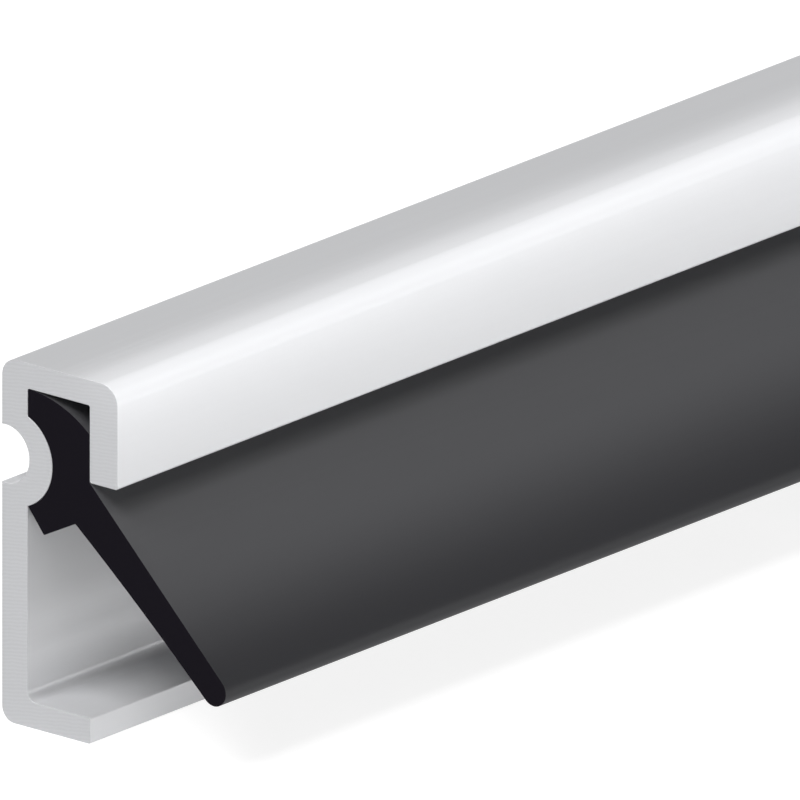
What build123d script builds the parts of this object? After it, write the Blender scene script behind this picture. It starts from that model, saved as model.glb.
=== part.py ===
from build123d import *
import math
import os

# A door draught strip: an extruded aluminium carrier that is screwed to a door or its frame, and a rubber
# seal held along it. The seal's foot is clipped between a hollow rib in the carrier's web and a flange that
# turns down in front of it, and its lip slants down and out to press on the floor, sill or stop.
#
# The strip runs along X. Its back face lies on y = 0 and faces +Y, the lip points to -Y, and Z is up. The
# origin is on the back face, halfway along the strip, on the line of its screw holes. A place in the section
# is given as "out", the distance in front of the back face, and "up", the height above the bottom edge.
# Lengths are in millimetres.

LENGTH = 1000.0

# The carrier's outline and walls
HEIGHT = 20.0
DEPTH = 7.85
WEB_WALL = 1.75
TOP_WALL = 1.4
FLANGE_WALL = 1.88
FLANGE_LENGTH = 5.65
FOOT_WALL = 1.42
FOOT_DEPTH = 6.0

# The carrier's rounded corners
TOP_FRONT_RADIUS = 1.1
TOP_BACK_RADIUS = 1.0
BOTTOM_BACK_RADIUS = 0.85
FOOT_CORNER_RADIUS = 0.6

# The rib stands proud of the web on its front, and is hollow behind as a groove open to the back face
RIB_UP = 14.6
RIB_PROUD = 1.67
RIB_RADIUS = 2.64
RIB_WALL = 1.57
GROOVE_RISE = 0.1
GROOVE_RADIUS = 1.6

# Screw holes drilled through the web below the rib
HOLE_COUNT = 4
HOLE_DIAMETER = 4.0
HOLE_UP = 6.3
HOLE_FROM_END = 50.0

# The seal sits in the carrier with this much room on each side
SEAT_GAP = 0.02

# The seal's foot: its crowned top meets the flange below the ceiling, and a heel hangs under the rib
SHOULDER_DROP = 1.6
CROWN_RADIUS = 6.8
HEEL_OUT = 1.08
HEEL_DROP = 1.35

# The seal's lip, which thins along a hollow inner side to a rounded tip
LIP_ANGLE = 45.0
LIP_LENGTH = 12.76
LIP_ROOT_WALL = 2.44
LIP_MIDDLE_WALL = 1.92
LIP_TIP_WALL = 1.62
LIP_ROOT_START = 1.07

# Heights and distances that follow from the sizes above
ceiling_up = HEIGHT - TOP_WALL
flange_end_up = HEIGHT - FLANGE_LENGTH
flange_inner_out = DEPTH - FLANGE_WALL
rib_crest_out = WEB_WALL + RIB_PROUD
rib_centre_out = rib_crest_out - RIB_RADIUS
groove_deepest_out = rib_crest_out - RIB_WALL
groove_centre_out = groove_deepest_out - GROOVE_RADIUS
groove_up = RIB_UP + GROOVE_RISE
hole_pitch = (LENGTH - 2 * HOLE_FROM_END) / (HOLE_COUNT - 1)


def at(out, up):
    """A point of the section, where x is the row's Y and y is its Z."""
    return (-out, up - HOLE_UP)


def corner(section, out, up):
    """The section's corner nearest to a place."""
    place = Vector(*at(out, up))
    return section.vertices().sort_by_distance(place)[0]


def round_segment(centre_out, centre_up, radius, edge_out):
    """The part of a disc that lies in front of a vertical line."""
    half = math.sqrt(radius**2 - (edge_out - centre_out) ** 2)
    low = at(edge_out, centre_up - half)
    high = at(edge_out, centre_up + half)
    front = at(centre_out + radius, centre_up)
    return make_face(Wire([ThreePointArc(low, front, high).edge(), Line(high, low).edge()]))


def carrier_section():
    """The open wall of the carrier: web, top, front flange, foot, rib and groove."""
    walls = make_face(
        Polyline(
            at(0, 0),
            at(0, HEIGHT),
            at(DEPTH, HEIGHT),
            at(DEPTH, flange_end_up),
            at(flange_inner_out, flange_end_up),
            at(flange_inner_out, ceiling_up),
            at(WEB_WALL, ceiling_up),
            at(WEB_WALL, FOOT_WALL),
            at(FOOT_DEPTH, FOOT_WALL),
            at(FOOT_DEPTH, 0),
            close=True,
        )
    )
    walls = fillet(corner(walls, DEPTH, HEIGHT), TOP_FRONT_RADIUS)
    walls = fillet(corner(walls, 0, HEIGHT), TOP_BACK_RADIUS)
    walls = fillet(corner(walls, 0, 0), BOTTOM_BACK_RADIUS)
    walls = fillet(corner(walls, WEB_WALL, FOOT_WALL), FOOT_CORNER_RADIUS)
    rib = round_segment(rib_centre_out, RIB_UP, RIB_RADIUS, WEB_WALL)
    groove = round_segment(groove_centre_out, groove_up, GROOVE_RADIUS, 0)
    return walls + rib - groove


def lip_point(along, inwards):
    """A point of the lip, from its distance along the outer face and its depth below that face."""
    angle = math.radians(LIP_ANGLE)
    out = flange_inner_out - SEAT_GAP + along * math.cos(angle) - inwards * math.sin(angle)
    up = flange_end_up - along * math.sin(angle) - inwards * math.cos(angle)
    return at(out, up)


def seal_section():
    """The seal's foot between web, rib and flange, its heel, and its lip."""
    back_out = WEB_WALL + SEAT_GAP
    front_out = flange_inner_out - SEAT_GAP
    top = at(back_out, ceiling_up - SEAT_GAP)
    shoulder = at(front_out, ceiling_up - SHOULDER_DROP)
    seat_radius = RIB_RADIUS + SEAT_GAP
    rib_half = math.sqrt(seat_radius**2 - (back_out - rib_centre_out) ** 2)
    heel_up = RIB_UP - rib_half
    heel_top = at(back_out, heel_up)
    heel_tip = at(back_out + HEEL_OUT, heel_up - HEEL_DROP)
    tip_radius = LIP_TIP_WALL / 2
    lip_middle = (LIP_LENGTH + LIP_ROOT_START) / 2
    edges = [
        RadiusArc(shoulder, top, CROWN_RADIUS),
        Line(shoulder, lip_point(0, 0)),
        Line(lip_point(0, 0), lip_point(LIP_LENGTH, 0)),
        ThreePointArc(
            lip_point(LIP_LENGTH, 0),
            lip_point(LIP_LENGTH + tip_radius, tip_radius),
            lip_point(LIP_LENGTH, LIP_TIP_WALL),
        ),
        ThreePointArc(
            lip_point(LIP_LENGTH, LIP_TIP_WALL),
            lip_point(lip_middle, LIP_MIDDLE_WALL),
            lip_point(LIP_ROOT_START, LIP_ROOT_WALL),
        ),
        Line(lip_point(LIP_ROOT_START, LIP_ROOT_WALL), heel_tip),
        Line(heel_tip, heel_top),
        Line(heel_top, top),
    ]
    outline = make_face(Wire([edge.edge() for edge in edges]))
    return outline - round_segment(rib_centre_out, RIB_UP, seat_radius, back_out)


def run_along(section):
    """A section drawn flat becomes a bar of the strip's length, centred on the origin."""
    return extrude(Plane.YZ * section, LENGTH / 2, both=True)


def screw_holes():
    """The row of holes through the web."""
    row = Sketch() + GridLocations(hole_pitch, 1, HOLE_COUNT, 1) * Circle(HOLE_DIAMETER / 2)
    return extrude(Plane.XZ * row, WEB_WALL)


carrier = run_along(carrier_section()) - screw_holes()
seal = run_along(seal_section())

os.makedirs("parts", exist_ok=True)
export_step(carrier, "parts/aluminium_carrier.step")
export_step(seal, "parts/rubber_seal.step")
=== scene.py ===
import math

import bpy
import numpy as np
from mathutils import Matrix, Vector


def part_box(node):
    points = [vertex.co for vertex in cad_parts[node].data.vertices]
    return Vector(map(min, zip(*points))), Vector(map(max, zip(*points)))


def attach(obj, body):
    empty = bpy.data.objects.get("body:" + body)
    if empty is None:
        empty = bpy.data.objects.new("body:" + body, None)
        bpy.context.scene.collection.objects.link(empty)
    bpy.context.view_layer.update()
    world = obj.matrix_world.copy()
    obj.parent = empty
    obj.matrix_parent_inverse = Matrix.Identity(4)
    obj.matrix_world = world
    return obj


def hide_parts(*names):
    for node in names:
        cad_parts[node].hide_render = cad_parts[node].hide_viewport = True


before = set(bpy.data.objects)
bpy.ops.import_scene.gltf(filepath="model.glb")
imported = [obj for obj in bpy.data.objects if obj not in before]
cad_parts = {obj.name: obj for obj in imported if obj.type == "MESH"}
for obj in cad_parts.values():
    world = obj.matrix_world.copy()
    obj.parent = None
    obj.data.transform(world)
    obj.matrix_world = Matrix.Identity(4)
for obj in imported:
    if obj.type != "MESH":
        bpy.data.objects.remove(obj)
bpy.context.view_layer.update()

# The camera looks along the strip from its near end, from in front and a little above. The view has no
# perspective: the strip's edges stay parallel. The near end's top back corner lies at a known pixel.
mm = 0.001
carrier_low, carrier_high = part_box("aluminium_carrier")
view_azimuth = math.radians(-49.83)
view_elevation = math.radians(19.03)
picture_width = 41.56 * mm
picture_pixels = 800
end_corner_pixel = (1.8, 356.0)
camera_distance = 1.5
nearest_seen = 0.01
farthest_seen = 20.0

towards_camera = Vector(
    (
        math.sin(view_azimuth) * math.cos(view_elevation),
        -math.cos(view_azimuth) * math.cos(view_elevation),
        math.sin(view_elevation),
    )
)
picture_right = Vector((math.cos(view_azimuth), math.sin(view_azimuth), 0.0))
picture_up = towards_camera.cross(picture_right)
pixel_size = picture_width / picture_pixels
end_corner = Vector((carrier_low.x, carrier_high.y, carrier_high.z))
picture_centre = (
    end_corner
    + picture_right * (picture_pixels / 2 - end_corner_pixel[0]) * pixel_size
    - picture_up * (picture_pixels / 2 - end_corner_pixel[1]) * pixel_size
)
camera_data = bpy.data.cameras.new("camera")
camera_data.type = "ORTHO"
camera_data.ortho_scale = picture_width
camera_data.clip_start = nearest_seen
camera_data.clip_end = farthest_seen
camera = bpy.data.objects.new("camera", camera_data)
camera.location = picture_centre + towards_camera * camera_distance
camera.rotation_euler = towards_camera.to_track_quat("Z", "Y").to_euler()
bpy.context.scene.collection.objects.link(camera)
bpy.context.scene.camera = camera


# Aluminium carrier: one extrusion with a flat web, a top, a flange turned down in front, a foot, and a
# rib in the web that is hollow behind. It is silver anodised over fine die lines, drilled through the web
# for screws, and sawn square at both ends, with the edges of each cut lightly broken.
height = (carrier_high.z - carrier_low.z) / mm
depth = (carrier_high.y - carrier_low.y) / mm
web_wall = 1.75
top_wall = 1.4
flange_wall = 1.88
flange_drop = 5.65
ceiling = height - top_wall
flange_inside = depth - flange_wall
flange_end = height - flange_drop
foot_wall = 1.42
foot_depth = 6.0
top_front_round = 1.1
top_back_round = 1.0
bottom_back_round = 0.85
foot_corner_round = 0.6
die_corner_round = 0.12
rib_up = 14.6
rib_round = 2.64
rib_proud = 1.67
rib_out = web_wall + rib_proud - rib_round
groove_up = 14.7
groove_round = 1.6
groove_out = 0.25
hole_up = -carrier_low.z / mm
hole_radius = 2.0
hole_centres = (-450.0, -150.0, 150.0, 450.0)
hole_square = 3.2
hole_lines = 10
hole_rings = 4
cut_break = 0.02
arc_step = math.radians(5.0)
arc_chord = 0.8
same_point = 1e-4
crisp_turn = math.radians(35.0)
weight_to_larger_faces = 100


def arc(centre, radius, start, end):
    """Points of an arc: the centre plus the radius turned evenly from the start angle to the end angle."""
    turned = abs(end - start)
    steps = max(2, math.ceil(turned / arc_step), math.ceil(turned * radius / arc_chord))
    turn = np.linspace(start, end, steps + 1)
    return np.column_stack([centre[0] + radius * np.cos(turn), centre[1] + radius * np.sin(turn)])


def bulged(first, last, radius):
    """The shorter arc of a radius from one point to another, with its centre to the right of the way:
    the centre is the chord's middle plus the rest of the radius across it."""
    first, last = np.asarray(first, float), np.asarray(last, float)
    chord = last - first
    length = np.linalg.norm(chord)
    right = np.array([chord[1], -chord[0]]) / length
    centre = (first + last) / 2 + right * math.sqrt(radius**2 - (length / 2) ** 2)
    start = math.atan2(*(first - centre)[::-1])
    return arc(centre, radius, start, start - 2 * math.asin(length / 2 / radius))


def rounded(before, corner, after, radius):
    """A corner between two straight runs, replaced by the arc that touches both of them."""
    before, corner, after = (np.asarray(p, float) for p in (before, corner, after))
    back = (before - corner) / np.linalg.norm(before - corner)
    ahead = (after - corner) / np.linalg.norm(after - corner)
    half = math.acos(np.clip(back @ ahead, -1.0, 1.0)) / 2
    bisector = (back + ahead) / np.linalg.norm(back + ahead)
    centre = corner + bisector * radius / math.sin(half)
    first = corner + back * radius / math.tan(half) - centre
    last = corner + ahead * radius / math.tan(half) - centre
    start = math.atan2(first[1], first[0])
    turn = math.atan2(first[0] * last[1] - first[1] * last[0], first @ last)
    return arc(centre, radius, start, start + turn)


def section_outline(stretches):
    """A closed section from its stretches in order, each a corner with its radius or a run of points.
    Of points that coincide one is kept."""
    ends = [(s[0], s[0]) if isinstance(s, tuple) else (s[0], s[-1]) for s in stretches]
    runs = []
    for i, stretch in enumerate(stretches):
        if isinstance(stretch, tuple):
            after = ends[(i + 1) % len(ends)][0]
            runs.append(rounded(ends[i - 1][1], stretch[0], after, stretch[1]))
        else:
            runs.append(np.asarray(stretch, float))
    section = np.concatenate(runs)
    step = np.linalg.norm(section - np.roll(section, 1, axis=0), axis=1)
    return section[step > same_point]


def drawn_in(section, amount):
    """The section with each point moved inwards along the mean of its two sides' normals, divided by the
    square of that mean's length, so that each side moves by the whole amount."""
    side = np.roll(section, -1, axis=0) - section
    normal = np.column_stack([-side[:, 1], side[:, 0]]) / np.linalg.norm(side, axis=1)[:, None]
    mean = normal + np.roll(normal, 1, axis=0)
    mean = mean / (mean * mean).sum(axis=1)[:, None] * 2.0
    area = np.sum(section[:, 0] * np.roll(section[:, 1], -1) - np.roll(section[:, 0], -1) * section[:, 1])
    return section + mean * amount * np.sign(area)


def strip_surface(section, stations):
    """The surface over two parameters, the station along X and the place round the section: a point is
    the station, then how far forward and how high the place is. The first and last stations take the
    section drawn in, so that the cut edges are broken."""
    across = np.tile(section, (len(stations), 1, 1))
    across[[0, -1]] = drawn_in(section, cut_break)
    along = np.broadcast_to(np.asarray(stations)[:, None, None], (*across.shape[:2], 1))
    return np.concatenate([along, -across[..., :1], across[..., 1:] - hole_up], axis=2) * mm


def strip_faces(number):
    """The quads between neighbouring stations and neighbouring places round the section."""
    ahead = np.roll(number, -1, axis=1)
    return np.stack([number[:-1], ahead[:-1], ahead[1:], number[1:]], axis=2)


def ring_faces(first, second):
    """The quads between two closed rows of point numbers of the same length."""
    return np.column_stack([first, np.roll(first, -1), np.roll(second, -1), second])


def extruded_piece(name, points, quads, cut_ends, skin, cut):
    """A closed mesh from its points, quads and end outlines, with a finish for its skin and one for its
    cut ends and their broken edges. Edges that turn by more than the crisp turn stay crisp, and flats
    stay flat up to a round."""
    used, quads = np.unique(quads, return_inverse=True)
    quads = quads.reshape(-1, 4)
    cut_ends = [np.searchsorted(used, end) for end in cut_ends]
    mesh = bpy.data.meshes.new(name)
    mesh.from_pydata(points[used].tolist(), [], quads.tolist() + [end.tolist() for end in cut_ends])
    mesh.materials.append(skin)
    mesh.materials.append(cut)
    reach = np.abs(points[used][:, 0])
    finish = np.ones(len(quads) + len(cut_ends), np.int32)
    finish[:len(quads)] = reach[quads].max(axis=1) > reach.max() - cut_break * mm / 2
    mesh.polygons.foreach_set("material_index", finish)
    mesh.polygons.foreach_set("use_smooth", np.ones(len(finish), bool))
    mesh.set_sharp_from_angle(angle=crisp_turn)
    mesh.update()
    piece = bpy.data.objects.new(name, mesh)
    bpy.context.scene.collection.objects.link(piece)
    flats = piece.modifiers.new("flats stay flat", "WEIGHTED_NORMAL")
    flats.weight = weight_to_larger_faces
    flats.keep_sharp = True
    return piece


groove_half = math.acos(-groove_out / groove_round)
groove = arc((groove_out, groove_up), groove_round, -groove_half, groove_half)
rib_half = math.acos((web_wall - rib_out) / rib_round)
rib = arc((rib_out, rib_up), rib_round, rib_half, -rib_half)
hole_rows = hole_up + np.linspace(-hole_square, hole_square, hole_lines + 1)
back_rows = np.column_stack([np.zeros(hole_lines + 1), hole_rows])
front_rows = np.column_stack([np.full(hole_lines + 1, web_wall), hole_rows[::-1]])
carrier_section = section_outline(
    [
        ((0.0, 0.0), bottom_back_round),
        back_rows,
        groove,
        ((0.0, height), top_back_round),
        ((depth, height), top_front_round),
        ((depth, flange_end), die_corner_round),
        ((flange_inside, flange_end), die_corner_round),
        ((flange_inside, ceiling), die_corner_round),
        ((web_wall, ceiling), die_corner_round),
        rib,
        front_rows,
        ((web_wall, foot_wall), foot_corner_round),
        ((foot_depth, foot_wall), die_corner_round),
        ((foot_depth, 0.0), die_corner_round),
    ]
)

strip_start, strip_end = carrier_low.x / mm, carrier_high.x / mm
stations = [strip_start, strip_start + cut_break, strip_end - cut_break, strip_end]
for centre in hole_centres:
    stations.extend(centre + np.linspace(-hole_square, hole_square, hole_lines + 1))
stations = np.sort(stations)
surface = strip_surface(carrier_section, stations)
number = np.arange(surface.shape[0] * surface.shape[1]).reshape(surface.shape[:2])
cells = strip_faces(number)
kept = np.ones(cells.shape[:2], bool)
points = [surface.reshape(-1, 3)]
quads = []
count = len(points[0])
# A screw hole takes the place of a square of the web's back and front. Rings go in even shares from the
# square's edge to the hole's circle, and the hole's wall joins the two circles.
for centre in hole_centres:
    i = int(np.argmin(np.abs(stations - (centre - hole_square))))
    rims = []
    for rows in (back_rows, front_rows):
        j = int(np.argmin(np.abs(carrier_section - rows[0]).sum(axis=1)))
        kept[i:i + hole_lines, j:j + hole_lines] = False
        square = number[i:i + hole_lines + 1, j:j + hole_lines + 1]
        edge = np.concatenate([square[0, :-1], square[:-1, -1], square[-1, :0:-1], square[:0:-1, 0]])
        around = points[0][edge]
        middle = np.array([centre * mm, around[0, 1], 0.0])
        spoke = around - middle
        circle = middle + spoke * hole_radius * mm / np.linalg.norm(spoke, axis=1)[:, None]
        previous = edge
        for share in np.linspace(0.0, 1.0, hole_rings + 1)[1:]:
            ring = np.arange(count, count + len(edge))
            points.append(around + (circle - around) * share)
            quads.append(ring_faces(previous, ring))
            previous = ring
            count += len(edge)
        rims.append(previous)
    quads.append(ring_faces(rims[0], np.roll(rims[1][::-1], 1)))
quads = np.concatenate([cells[kept], *quads])

metal_share = 0.3
noise_low = 0.25
noise_high = 0.75


def finish_of(name):
    """A new material, its tree and its shader."""
    made = bpy.data.materials.new(name)
    made.use_nodes = True
    return made, made.node_tree, made.node_tree.nodes["Principled BSDF"]


def streaks(tree, along, across, detail):
    """Noise over the strip's own coordinates, its spots so many mm long and so many mm across."""
    place = tree.nodes.new("ShaderNodeTexCoord")
    stretch = tree.nodes.new("ShaderNodeMapping")
    stretch.inputs["Scale"].default_value = (1 / along / mm, 1 / across / mm, 1 / across / mm)
    noise = tree.nodes.new("ShaderNodeTexNoise")
    noise.inputs["Scale"].default_value = 1.0
    noise.inputs["Detail"].default_value = detail
    tree.links.new(place.outputs["Object"], stretch.inputs["Vector"])
    tree.links.new(stretch.outputs["Vector"], noise.inputs["Vector"])
    return noise.outputs["Fac"]


def shaded(tree, pattern, low, high, socket):
    """The socket's colour goes evenly from one colour to another with the pattern."""
    mix = tree.nodes.new("ShaderNodeMix")
    mix.data_type = "RGBA"
    mix.inputs["A"].default_value = (*low, 1.0)
    mix.inputs["B"].default_value = (*high, 1.0)
    tree.links.new(pattern, mix.inputs["Factor"])
    tree.links.new(mix.outputs["Result"], socket)


def graded(tree, pattern, low, high, socket):
    """The socket's number goes evenly from low to high over the part of the pattern that noise reaches."""
    grade = tree.nodes.new("ShaderNodeMapRange")
    grade.inputs["From Min"].default_value = noise_low
    grade.inputs["From Max"].default_value = noise_high
    grade.inputs["To Min"].default_value = low
    grade.inputs["To Max"].default_value = high
    tree.links.new(pattern, grade.inputs["Value"])
    tree.links.new(grade.outputs["Result"], socket)


def embossed(tree, pattern, relief, under=None):
    """The pattern stands proud by the relief in mm, over another relief where there is one."""
    bump = tree.nodes.new("ShaderNodeBump")
    bump.inputs["Distance"].default_value = relief * mm
    tree.links.new(pattern, bump.inputs["Height"])
    if under is not None:
        tree.links.new(under, bump.inputs["Normal"])
    return bump.outputs["Normal"]


anodised_dull = (0.655, 0.66, 0.675)
anodised_bright = (0.695, 0.70, 0.716)
anodised_roughness = (0.37, 0.49)
die_line_relief = 0.003
etched_relief = 0.001
anodised, anodised_tree, anodised_shader = finish_of("anodised_aluminium")
anodised_shader.inputs["Metallic"].default_value = metal_share
die_lines = streaks(anodised_tree, along=260.0, across=0.16, detail=3.0)
etched_grain = streaks(anodised_tree, along=0.09, across=0.05, detail=1.0)
anodised_cloud = streaks(anodised_tree, along=30.0, across=5.0, detail=2.0)
shaded(
    anodised_tree,
    anodised_cloud,
    anodised_dull,
    anodised_bright,
    anodised_shader.inputs["Base Color"],
)
graded(anodised_tree, die_lines, *anodised_roughness, anodised_shader.inputs["Roughness"])
anodised_relief = embossed(anodised_tree, die_lines, die_line_relief)
anodised_relief = embossed(anodised_tree, etched_grain, etched_relief, anodised_relief)
anodised_tree.links.new(anodised_relief, anodised_shader.inputs["Normal"])

# The saw marks are rings about the blade's centre, given by how far forward and how high it stood. The
# wave texture turns by 20 radians for each unit of its scale.
blade_centre = (20.0, -118.0)
saw_pitch = 0.2
saw_wobble = 3.0
saw_wobble_detail = 2.0
saw_relief = 0.002
wave_turn = 20.0
sawn_dull = (0.481, 0.486, 0.500)
sawn_bright = (0.511, 0.516, 0.531)
sawn_roughness = (0.50, 0.60)
sawn, sawn_tree, sawn_shader = finish_of("sawn_aluminium")
sawn_shader.inputs["Metallic"].default_value = metal_share
sawn_place = sawn_tree.nodes.new("ShaderNodeTexCoord")
blade_hub = sawn_tree.nodes.new("ShaderNodeMapping")
blade_hub.inputs["Location"].default_value = (0.0, blade_centre[0] * mm, -blade_centre[1] * mm)
saw_marks = sawn_tree.nodes.new("ShaderNodeTexWave")
saw_marks.wave_type = "RINGS"
saw_marks.rings_direction = "X"
saw_marks.inputs["Scale"].default_value = 2 * math.pi / (wave_turn * saw_pitch * mm)
saw_marks.inputs["Distortion"].default_value = saw_wobble
saw_marks.inputs["Detail"].default_value = saw_wobble_detail
sawn_tree.links.new(sawn_place.outputs["Object"], blade_hub.inputs["Vector"])
sawn_tree.links.new(blade_hub.outputs["Vector"], saw_marks.inputs["Vector"])
shaded(
    sawn_tree,
    saw_marks.outputs["Fac"],
    sawn_dull,
    sawn_bright,
    sawn_shader.inputs["Base Color"],
)
sawn_grain = streaks(sawn_tree, along=0.2, across=0.2, detail=2.0)
graded(sawn_tree, sawn_grain, *sawn_roughness, sawn_shader.inputs["Roughness"])
sawn_relief = embossed(sawn_tree, saw_marks.outputs["Fac"], saw_relief)
sawn_tree.links.new(sawn_relief, sawn_shader.inputs["Normal"])

carrier = extruded_piece(
    "aluminium_carrier_skin",
    np.concatenate(points),
    quads,
    (number[0][::-1], number[-1]),
    anodised,
    sawn,
)
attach(carrier, "root")
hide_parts("aluminium_carrier")


# Rubber seal: one extrusion of black rubber, slid into the carrier and cut flush with it. Its foot fills
# the channel between web, rib and flange, a heel hangs under the rib, and the lip, hollowed on its inner
# side so that it bends, slants down and out to a rounded tip. Down the lip towards its tip, shade is
# painted into the rubber: its colour is made darker and its sheen lower there.
seal_room = 0.02
seal_back = web_wall + seal_room
seal_front = flange_inside - seal_room
seat_round = rib_round + seal_room
shoulder_drop = 1.6
shoulder = ceiling - shoulder_drop
crown_round = 6.8
heel_out = 1.08
heel_drop = 1.35
lip_slant = math.radians(45.0)
lip_length = 12.76
lip_tip_wall = 1.62
lip_middle_wall = 1.92
lip_root_wall = 2.44
lip_root_start = 1.07
rubber_corner_round = 0.08


def lip_place(along, inwards):
    """A place on the lip: from where it leaves the flange, so far down its slant and so far below it."""
    out = seal_front + along * math.cos(lip_slant) - inwards * math.sin(lip_slant)
    up = flange_end - along * math.sin(lip_slant) - inwards * math.cos(lip_slant)
    return np.array([out, up])


seat_half = math.acos((seal_back - rib_out) / seat_round)
heel_top = rib_up - seat_round * math.sin(seat_half)
tip_round = lip_tip_wall / 2
tip_first = lip_place(lip_length, tip_round) - lip_place(lip_length, 0.0)
tip_start = math.atan2(-tip_first[1], -tip_first[0])
tip = arc(lip_place(lip_length, tip_round), tip_round, tip_start, tip_start - math.pi)
hollow_chord = np.linalg.norm(
    lip_place(lip_length, lip_tip_wall) - lip_place(lip_root_start, lip_root_wall)
)
hollow_depth = (lip_tip_wall + lip_root_wall) / 2 - lip_middle_wall
hollow_round = (hollow_chord**2 / 4 + hollow_depth**2) / (2 * hollow_depth)
hollow = bulged(
    lip_place(lip_root_start, lip_root_wall), lip_place(lip_length, lip_tip_wall), hollow_round
)[::-1]
seal_section = section_outline(
    [
        bulged((seal_back, ceiling - seal_room), (seal_front, shoulder), crown_round),
        (tuple(lip_place(0.0, 0.0)), rubber_corner_round),
        tip,
        hollow,
        ((seal_back + heel_out, heel_top - heel_drop), rubber_corner_round),
        arc((rib_out, rib_up), seat_round, -seat_half, seat_half),
    ]
)

seal_stations = [strip_start, strip_start + cut_break, strip_end - cut_break, strip_end]
seal_surface = strip_surface(seal_section, seal_stations)
seal_number = np.arange(seal_surface.shape[0] * seal_surface.shape[1]).reshape(seal_surface.shape[:2])
seal_quads = strip_faces(seal_number)

# Painted shade on the lip: from 6 mm down the lip to 12.8 mm, near its tip, the rubber's colour is
# multiplied darker by the tint and its sheen lowered.
shade_painted_from = 6.0
shade_painted_fully = 12.8
painted_shade_tint = (0.40, 0.40, 0.42)
unshaded_sheen = 0.50
painted_shade_sheen = 0.20
rubber_dark = (0.0465, 0.0465, 0.0505)
rubber_light = (0.0525, 0.0525, 0.0565)
rubber_roughness = (0.46, 0.56)
flow_line_relief = 0.004
rubber_grain_relief = 0.0025
rubber, rubber_tree, rubber_shader = finish_of("seal_rubber")
flow_lines = streaks(rubber_tree, along=120.0, across=0.4, detail=2.0)
rubber_grain = streaks(rubber_tree, along=0.08, across=0.08, detail=2.0)
rubber_place = rubber_tree.nodes.new("ShaderNodeTexCoord")
rubber_height = rubber_tree.nodes.new("ShaderNodeSeparateXYZ")
# Painted shade: the mask rises smoothly with falling height, from where the lip's painted shade begins to
# where it is full.
painted_shade_mask = rubber_tree.nodes.new("ShaderNodeMapRange")
painted_shade_mask.interpolation_type = "SMOOTHSTEP"
painted_shade_mask.inputs["From Min"].default_value = (lip_place(shade_painted_from, 0.0)[1] - hole_up) * mm
painted_shade_mask.inputs["From Max"].default_value = (lip_place(shade_painted_fully, 0.0)[1] - hole_up) * mm
rubber_tree.links.new(rubber_place.outputs["Object"], rubber_height.inputs["Vector"])
rubber_tree.links.new(rubber_height.outputs["Z"], painted_shade_mask.inputs["Value"])
# The rubber's colour is multiplied by the darker tint where the painted shade mask is high.
painted_shade_mix = rubber_tree.nodes.new("ShaderNodeMix")
painted_shade_mix.data_type = "RGBA"
painted_shade_mix.blend_type = "MULTIPLY"
painted_shade_mix.inputs["B"].default_value = (*painted_shade_tint, 1.0)
shaded(rubber_tree, flow_lines, rubber_dark, rubber_light, painted_shade_mix.inputs["A"])
rubber_tree.links.new(painted_shade_mask.outputs["Result"], painted_shade_mix.inputs["Factor"])
rubber_tree.links.new(painted_shade_mix.outputs["Result"], rubber_shader.inputs["Base Color"])
# The sheen falls from its plain level to a lower one where the painted shade mask is high.
sheen = rubber_tree.nodes.new("ShaderNodeMapRange")
sheen.inputs["To Min"].default_value = unshaded_sheen
sheen.inputs["To Max"].default_value = painted_shade_sheen
rubber_tree.links.new(painted_shade_mask.outputs["Result"], sheen.inputs["Value"])
rubber_tree.links.new(sheen.outputs["Result"], rubber_shader.inputs["Specular IOR Level"])
graded(rubber_tree, flow_lines, *rubber_roughness, rubber_shader.inputs["Roughness"])
rubber_relief = embossed(rubber_tree, flow_lines, flow_line_relief)
rubber_relief = embossed(rubber_tree, rubber_grain, rubber_grain_relief, rubber_relief)
rubber_tree.links.new(rubber_relief, rubber_shader.inputs["Normal"])

cut_rubber_sheen = 0.02
cut_rubber_dark = (0.0066, 0.0056, 0.0084)
cut_rubber_light = (0.0094, 0.0082, 0.0114)
cut_rubber_roughness = (0.80, 0.90)
cut_grain_relief = 0.004
cut_rubber, cut_rubber_tree, cut_rubber_shader = finish_of("cut_rubber")
cut_rubber_shader.inputs["Specular IOR Level"].default_value = cut_rubber_sheen
cut_grain = streaks(cut_rubber_tree, along=0.07, across=0.07, detail=2.0)
shaded(
    cut_rubber_tree,
    cut_grain,
    cut_rubber_dark,
    cut_rubber_light,
    cut_rubber_shader.inputs["Base Color"],
)
graded(cut_rubber_tree, cut_grain, *cut_rubber_roughness, cut_rubber_shader.inputs["Roughness"])
cut_relief = embossed(cut_rubber_tree, cut_grain, cut_grain_relief)
cut_rubber_tree.links.new(cut_relief, cut_rubber_shader.inputs["Normal"])

seal = extruded_piece(
    "rubber_seal_skin",
    seal_surface.reshape(-1, 3),
    seal_quads.reshape(-1, 4),
    (seal_number[0][::-1], seal_number[-1]),
    rubber,
    cut_rubber,
)
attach(seal, "root")
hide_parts("rubber_seal")


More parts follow.
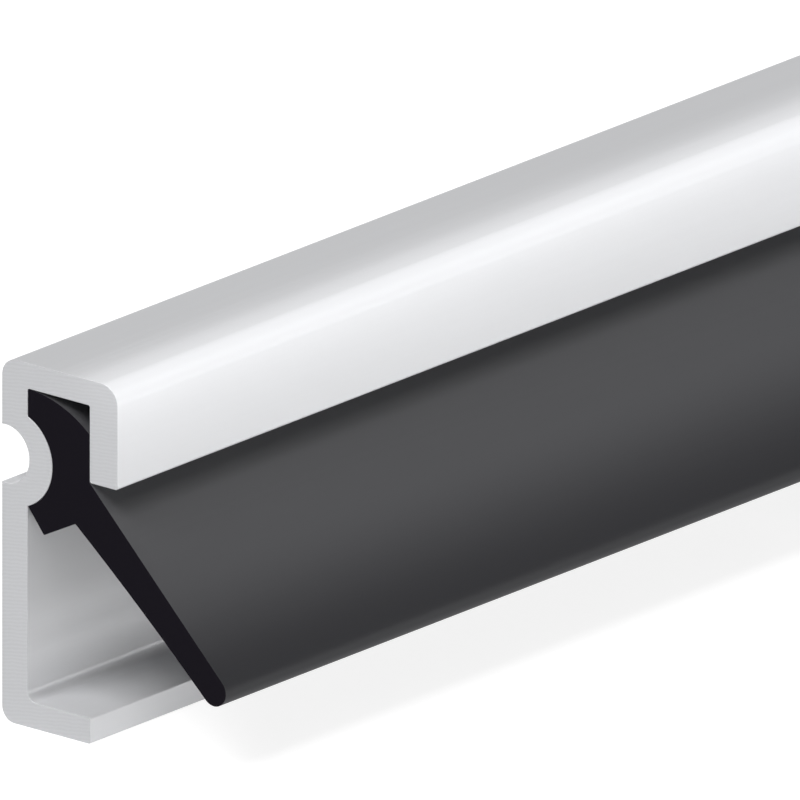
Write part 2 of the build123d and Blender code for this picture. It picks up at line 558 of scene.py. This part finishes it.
# The floor is white paper that the strip stands on. To the camera and in reflections most of its white is
# a glow of its own, so that the strip's soft shadow stays faint. It throws back light as plain white paper.
floor_size = 20.0
bpy.ops.mesh.primitive_plane_add(size=floor_size, location=(0.0, 0.0, carrier_low.z))
floor = bpy.context.active_object
floor.name = "floor"
floor_white = 0.9
floor_glow = 0.86
floor_matt = 0.3
paper = bpy.data.materials.new("white_floor")
paper.use_nodes = True
paper_nodes, paper_links = paper.node_tree.nodes, paper.node_tree.links
paper_nodes.remove(paper_nodes["Principled BSDF"])
rays = paper_nodes.new("ShaderNodeLightPath")
seen = paper_nodes.new("ShaderNodeMath")
seen.operation = "MAXIMUM"
seen_any = paper_nodes.new("ShaderNodeMath")
seen_any.operation = "MAXIMUM"
paper_links.new(rays.outputs["Is Camera Ray"], seen.inputs[0])
paper_links.new(rays.outputs["Is Glossy Ray"], seen.inputs[1])
paper_links.new(seen.outputs["Value"], seen_any.inputs[0])
paper_links.new(rays.outputs["Is Transmission Ray"], seen_any.inputs[1])
bounced = paper_nodes.new("ShaderNodeBsdfDiffuse")
bounced.inputs["Color"].default_value = (floor_white, floor_white, floor_white, 1.0)
shown = paper_nodes.new("ShaderNodeBsdfDiffuse")
shown.inputs["Color"].default_value = (floor_matt, floor_matt, floor_matt, 1.0)
glow = paper_nodes.new("ShaderNodeEmission")
glow.inputs["Strength"].default_value = floor_glow
shown_white = paper_nodes.new("ShaderNodeAddShader")
paper_links.new(shown.outputs["BSDF"], shown_white.inputs[0])
paper_links.new(glow.outputs["Emission"], shown_white.inputs[1])
by_ray = paper_nodes.new("ShaderNodeMixShader")
paper_links.new(seen_any.outputs["Value"], by_ray.inputs["Fac"])
paper_links.new(bounced.outputs["BSDF"], by_ray.inputs[1])
paper_links.new(shown_white.outputs["Shader"], by_ray.inputs[2])
paper_links.new(by_ray.outputs["Shader"], paper_nodes["Material Output"].inputs["Surface"])
floor.data.materials.append(paper)


# The lamps. Three soft boxes light the near end, the far end and the back. Four thin tubes run along the
# strip in front of it: two low ones reach in under the lip to the foot and the web, and two close to the
# top's front edge draw the bright line along it.
softbox_distance = 5.0


def aimed(place, at_place, run=None):
    """A lamp's turn: it shines along -Z towards a place, with its own X along the run where given."""
    back = (Vector(place) - Vector(at_place)).normalized()
    side = Vector(run) if run else Vector((0.0, 0.0, 1.0)).cross(back).normalized()
    return Matrix((side, back.cross(side), back)).transposed().to_4x4()


def lamp(name, brightness, size_x, size_y, place, turn, spread=180.0):
    """An area lamp of an even brightness, where 1 is white, that shines within a spread in degrees. The
    camera doesn't see it. Its energy is its brightness times pi times its area."""
    data = bpy.data.lights.new(name, "AREA")
    data.shape = "RECTANGLE"
    data.size = size_x
    data.size_y = size_y
    data.energy = brightness * math.pi * size_x * size_y
    data.spread = math.radians(spread)
    made = bpy.data.objects.new(name, data)
    made.matrix_world = Matrix.Translation(place) @ turn
    made.visible_camera = False
    bpy.context.scene.collection.objects.link(made)


def tube(name, brightness, out, up, past_end, aim=(8.0, 18.0), width=4.0, spread=180.0):
    """A long thin lamp that runs along the strip and so many mm past its ends, at a place of its section
    and aimed at another. Both are given by how far forward and how high they are."""
    place = (0.0, -out * mm, (up - hole_up) * mm)
    at_place = (0.0, -aim[0] * mm, (aim[1] - hole_up) * mm)
    length = (strip_end - strip_start + 2 * past_end) * mm
    lamp(name, brightness, length, width * mm, place, aimed(place, at_place, (1.0, 0.0, 0.0)), spread)


def softbox(name, brightness, size, azimuth, elevation):
    """A square soft lamp, aimed at the strip's near end from a direction: the place is the near end plus
    the distance along the direction."""
    turn, rise = math.radians(azimuth), math.radians(elevation)
    near_end = Vector((carrier_low.x, 0.0, 0.0))
    place = near_end + softbox_distance * Vector(
        (math.sin(turn) * math.cos(rise), -math.cos(turn) * math.cos(rise), math.sin(rise))
    )
    lamp(name, brightness, size, size, place, aimed(place, near_end))


softbox("near end", brightness=12.0, size=2.6, azimuth=-90.0, elevation=60.0)
softbox("far end", brightness=8.0, size=1.8, azimuth=90.0, elevation=8.0)
softbox("back", brightness=5.0, size=1.8, azimuth=180.0, elevation=25.0)
tube("low front tube", brightness=4.8, out=80.0, up=3.0, past_end=150.0)
tube("floor tube", brightness=2.5, out=28.0, up=1.3, past_end=150.0, aim=(web_wall, 7.0), width=2.0)
tube("front tube", brightness=0.78, out=10.0, up=20.2, past_end=3.0)
tube("corner tube", brightness=0.46, out=7.0, up=22.5, past_end=3.0, spread=130.0)

room_white = (1.0, 1.0, 1.0, 1.0)
room_brightness = 0.16
world = bpy.data.worlds.new("studio")
world.use_nodes = True
world.node_tree.nodes["Background"].inputs["Color"].default_value = room_white
world.node_tree.nodes["Background"].inputs["Strength"].default_value = room_brightness
bpy.context.scene.world = world
bpy.context.scene.view_settings.view_transform = "Standard"
